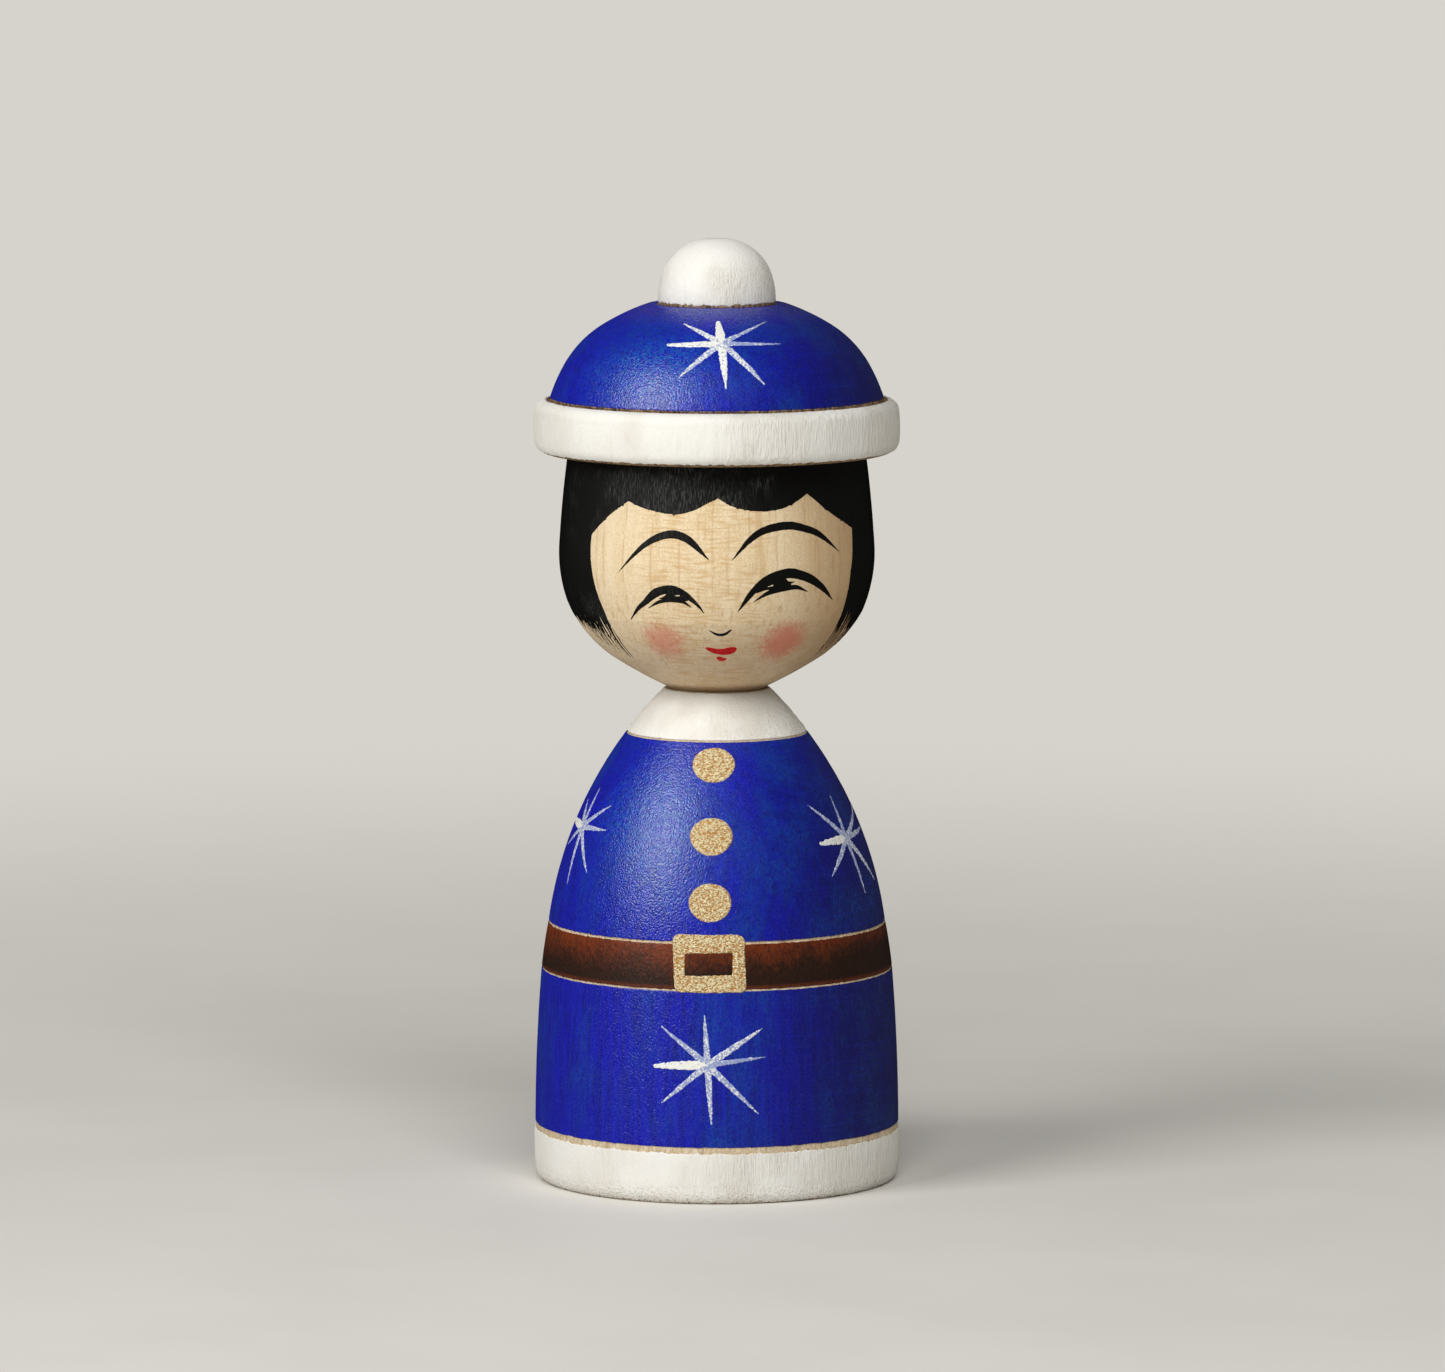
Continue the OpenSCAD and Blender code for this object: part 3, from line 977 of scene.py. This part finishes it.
def nose_and_mouth():
    nose = [(-1.35, 0.55, 0.06), (-0.65, 0.06, 0.18), (0, -0.12, 0.22), (0.65, 0.05, 0.22),
            (1.3, 0.65, 0.12)]
    mark("nose", (1.5, 71.6), (1.8, 1.2), [nose], ragged=0.01, pitch=0.04)
    upper = [(-1.75, 0.3, 0.24), (-1.2, 0.02, 0.4), (-0.4, -0.3, 0.52), (0.55, -0.32, 0.66),
             (1.15, -0.1, 0.66), (1.6, 0.2, 0.36)]
    lower = [(-0.22, -1.62, 0.36), (0.1, -1.92, 0.42), (0.42, -1.85, 0.32)]
    mark("mouth", (2, 69.4), (2.4, 2.6), [upper, lower], look=RED, seed=6, pitch=0.05)


def curve_through(points, steps=8):
    """A finer run of (angle, height) points through the given ones."""
    padded = np.column_stack([np.array(points, float), np.ones(len(points))])
    return smooth_stations(padded, steps)[:, :2]


def hairline(angle):
    """Height of the lower edge of the hair at angles in degrees.

    The fringe hangs in two wide arcs between two narrow ones. Behind the locks the line drops to the nape."""
    arcs = [[(-52.9, 83.5), (-43.4, 86.25), (-34.7, 88.2)],
            [(-34.7, 88.2), (-29.5, 87.55), (-22.5, 87.05), (-15, 86.8), (-9, 87.25), (-4, 88.1),
             (0.2, 88.9)],
            [(0.2, 88.9), (5, 87.95), (11, 87.35), (18, 87.15), (25, 87.45), (31, 88.2), (35.9, 89.1)],
            [(35.9, 89.1), (46.4, 86.55), (59.5, 84.2)]]
    line = [(-180, 71.4), (-120, 72.2), (-92, 73.4), (-84, 74.2), (-77.4, 77.5), (-53.2, 78)]
    for arc in arcs:
        line += [tuple(p) for p in curve_through(arc)]
    line += [(59.8, 78), (81, 77), (86, 71.6), (120, 71.4), (180, 71.4)]
    line = np.array(line)
    return np.interp(angle, line[:, 0], line[:, 1])


def bristles(angle, size, seed):
    """How far single bristles overshoot an edge, 0 to 1, at angles in degrees."""
    value = grain(angle / size, np.full_like(angle, seed), np.full_like(angle, 0.5))
    return np.clip(value, 0, 1) ** 1.5


def hair_cap():
    """The black hair from under the hat down to the fringe, the temples and the nape."""
    angle = (np.degrees(turns()) + 180) % 360 - 180
    behind = ramp(np.abs(angle), 60, 84)
    ticks = 0.4 * bristles(angle, 0.7, 4) + behind * (1.6 * bristles(angle, 1, 2) + bristles(angle, 3.1, 6))
    low = head.s_at(hairline(angle) - ticks + behind * 0.5)
    corner = DOME[0]
    high = ragged_line(head, corner + 2, 0.35, 1.2, 3)

    def thickness(s):
        return np.interp(s, [corner - 0.25, corner], [0.05, 0.018])

    def smoother_up(points):
        return hair_relief(points) * np.interp(points[..., 2], [92.6, 92.9], [1, 0.2])

    skin("hair_cap", head, low, high, (HAIR[0], HAIR[1], smoother_up), "head", thickness=thickness)


def lock(name, centre, inner, solid, tips, seed):
    """A side lock: broad strokes that end along the line `solid`, and bristles that run on to `tips`.

    inner is the lock's edge beside the face. All three are lines of (angle, height)."""
    theta0, s0 = math.radians(centre[0]), float(head.s_at(centre[1]))
    draw = np.random.default_rng(seed)
    inner = np.array(inner, float)

    def unrolled(angle, height):
        s = head.s_at(height)
        return (math.radians(1) * angle - theta0) * head.at(s)[0], s - s0

    def stroke_to(line, share, longer, wide, tip_wide):
        """Stations of a stroke that runs down beside the inner edge to a place along a line."""
        line = np.array(line, float)
        along = np.concatenate([[0], np.cumsum(np.hypot(np.diff(line[:, 0]) / 3, np.diff(line[:, 1])))])
        angle = np.interp(share * along[-1], along, line[:, 0])
        height = np.interp(share * along[-1], along, line[:, 1]) - longer
        shift = angle - line[0, 0]
        stations = []
        for edge_angle, edge_height in inner[:-1]:
            if edge_height > height + 0.8:
                x, y = unrolled(edge_angle + shift, edge_height)
                fall = np.clip((edge_height - height) / 5, 0, 1)
                stations.append((x, y, tip_wide + (wide - tip_wide) * fall))
        x, y = unrolled(angle, height)
        stations.append((x, y, tip_wide))
        return stations

    strokes = []
    for share in np.linspace(0, 1, 46):
        share += draw.uniform(-0.01, 0.01)
        longer = draw.uniform(-0.5, 0.8)
        strokes.append(stroke_to(solid, share, longer, 0.42, 0.04))
    for share in np.linspace(0, 1, 28):
        share += draw.uniform(-0.02, 0.02)
        longer = draw.uniform(-1.4, 0.5)
        strokes.append(stroke_to(tips, share, longer, 0.12, draw.uniform(0.02, 0.05)))
    side_sign = 1 if centre[0] < 0 else -1
    edge_x, edge_y = unrolled(inner[:, 0], inner[:, 1])
    order = np.argsort(edge_y)

    def inside(x, y):
        depth = np.max([brush(x, y, stroke) for stroke in strokes], axis=0)
        limit = np.interp(y, edge_y[order], edge_x[order])
        depth = np.minimum(depth, (limit - x) * side_sign)
        depth = depth + rough(x, y, 0.03, 0.15, seed)
        return depth, np.ones_like(x)

    pad(name, head, centre, (10.5, 10), inside, HAIR, "head", 0.055, pitch=0.07)


def hair():
    hair_cap()
    lock("left_lock", (-63, 76),
         [(-52.9, 83.4), (-52.7, 81), (-50.7, 77), (-48.2, 73.8), (-47.2, 71.3), (-46.2, 68.95)],
         [(-48.5, 70.9), (-55, 70.7), (-60.6, 70.8), (-68, 71.4), (-75, 72.1), (-83, 73.1)],
         [(-47.2, 67.4), (-50.5, 67.9), (-57.5, 68.3), (-64, 69.8), (-72, 71.3), (-81, 73)], 21)
    lock("right_lock", (73, 76),
         [(59.4, 84.1), (59, 81.5), (57.6, 78.8), (57.3, 75.2), (57.2, 72.3), (58.3, 69.6), (59.4, 67.7)],
         [(58.2, 71.6), (66, 71.3), (78, 70.9), (90, 70.7), (100, 71)],
         [(59.4, 67.7), (65.2, 68.1), (72, 68.4), (80, 68.6), (92, 68.9), (100, 69.6)], 22)


# Pale, dark and line colours of bare wood, and the strength of its dark specks. The second set, for the
# hat and the pompom, whose wood shows only in their grooves and seams and under the brim, is darker with
# strong specks: painted shade in those recesses, partly dirt.
CLEAN = ((226, 211, 184), (200, 177, 141), (150, 122, 90), 0.35)
GROOVE_SHADE_AND_DIRT = ((176, 150, 114), (130, 100, 70), (46, 34, 24), 0.85)
WOODS = {"torso": bare_wood("torso_wood", *CLEAN), "head": face_wood(),
         "hat": bare_wood("hat_wood", *GROOVE_SHADE_AND_DIRT), "pompom": bare_wood("pompom_wood", *GROOVE_SHADE_AND_DIRT)}
for node, wood in WOODS.items():
    for material_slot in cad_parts[node].material_slots:
        material_slot.material = wood

# Angle and height of each button, and the seed of its outline
BUTTONS = (((-1.8, 54.5), 2.1), ((-2.1, 46), 5.3), ((-2.4, 37.95), 8.7))

dress_torso()
dress_hat()
stars()
for number, (centre, seed) in enumerate(BUTTONS, 1):
    button(f"button_{number}", centre, seed)
buckle()
brows()
left_eye()
right_eye()
nose_and_mouth()
hair()


# ---------------- floor, light and camera

BACKDROP = srgb(214, 211, 204)


def floor_paper():
    """Pale paper. Far from the doll the camera sees an even, pale backdrop in its place."""
    paper = Finish("floor_paper", (230, 227, 220), 0.75, 0.2)
    paper.tint((226, 223, 216), paper.noise(40, 40), 0.3, 0.7)
    paper.uneven(paper.noise(1.5, 1.5), 0.01)
    material = paper.done()
    away = paper.node("VectorMath", (paper.mm,), operation="LENGTH").outputs["Value"]
    seen = paper.node("LightPath").outputs["Is Camera Ray"]
    far = paper.times(paper.share(away, 60, 480), seen)
    glow = paper.node("Emission", (BACKDROP, 1)).outputs[0]
    blend = paper.node("MixShader", (far, paper.shader.outputs[0], glow))
    output = next(n for n in paper.tree.nodes if n.type == "OUTPUT_MATERIAL")
    paper.wire(output.inputs["Surface"], blend.outputs[0])
    return material


def floor():
    """A wide round floor."""
    radius, sides = 12, 96
    mesh = bpy.data.meshes.new("floor")
    rim = [(radius * math.cos(turn), radius * math.sin(turn), 0) for turn in turns(sides)]
    mesh.from_pydata(rim, [], [range(sides)])
    mesh.materials.append(floor_paper())
    sheet = put("floor", mesh)
    sheet.visible_glossy = False


def area_light(name, azimuth, elevation, distance, size, power, target, shines=True):
    """A soft rectangular lamp. Azimuth is from the front, positive towards the viewer's right. A lamp that
    doesn't shine gives no highlights."""
    lamp = bpy.data.lights.new(name, "AREA")
    lamp.shape = "RECTANGLE"
    lamp.size, lamp.size_y = size
    lamp.energy = power
    lit = put(name, lamp)
    a, e = math.radians(azimuth), math.radians(elevation)
    away = Vector((math.sin(a) * math.cos(e), -math.cos(a) * math.cos(e), math.sin(e)))
    lit.location = target + away * distance
    lit.rotation_euler = away.to_track_quat("Z", "Y").to_euler()
    lit.visible_glossy = shines


def surroundings():
    """Dim light from all sides, dimmer in reflections, with a pale backdrop for the camera."""
    world = bpy.data.worlds.new("world")
    world.use_nodes = True
    nodes, link = world.node_tree.nodes, world.node_tree.links.new
    dim = nodes["Background"]
    dim.inputs["Color"].default_value = (1, 0.98, 0.95, 1)
    ray = nodes.new("ShaderNodeLightPath")
    strength = nodes.new("ShaderNodeMapRange")
    strength.inputs["To Min"].default_value = 0.15
    strength.inputs["To Max"].default_value = 0.07
    backdrop = nodes.new("ShaderNodeBackground")
    backdrop.inputs["Color"].default_value = BACKDROP
    pick = nodes.new("ShaderNodeMixShader")
    link(ray.outputs["Is Glossy Ray"], strength.inputs["Value"])
    link(strength.outputs["Result"], dim.inputs["Strength"])
    link(ray.outputs["Is Camera Ray"], pick.inputs[0])
    link(dim.outputs[0], pick.inputs[1])
    link(backdrop.outputs[0], pick.inputs[2])
    link(pick.outputs[0], nodes["World Output"].inputs["Surface"])
    bpy.context.scene.world = world


def camera(height):
    """A long lens from the front, looking slightly down. Its distances are in heights of the doll."""
    pitch = math.radians(6.64)
    distance, aim_right, aim_up = 10.39 * height, 0.006 * height, 0.525 * height
    lens = bpy.data.cameras.new("camera")
    lens.sensor_width = 36
    lens.lens = 244.1
    lens.clip_end = 20
    view = put("camera", lens)
    view.location = (aim_right, -distance * math.cos(pitch), aim_up + distance * math.sin(pitch))
    view.rotation_euler = (math.radians(90) - pitch, 0, 0)
    bpy.context.scene.camera = view


height = cad_box[1].z
middle = Vector((0, 0, height / 2))
floor()
area_light("key", azimuth=-50, elevation=33, distance=1, size=(0.5, 0.5), power=5.6, target=middle)
area_light("fill", azimuth=8, elevation=44, distance=1.6, size=(1, 0.8), power=13.6, target=middle,
           shines=False)
surroundings()
bpy.context.scene.view_settings.view_transform = "Standard"
camera(height)
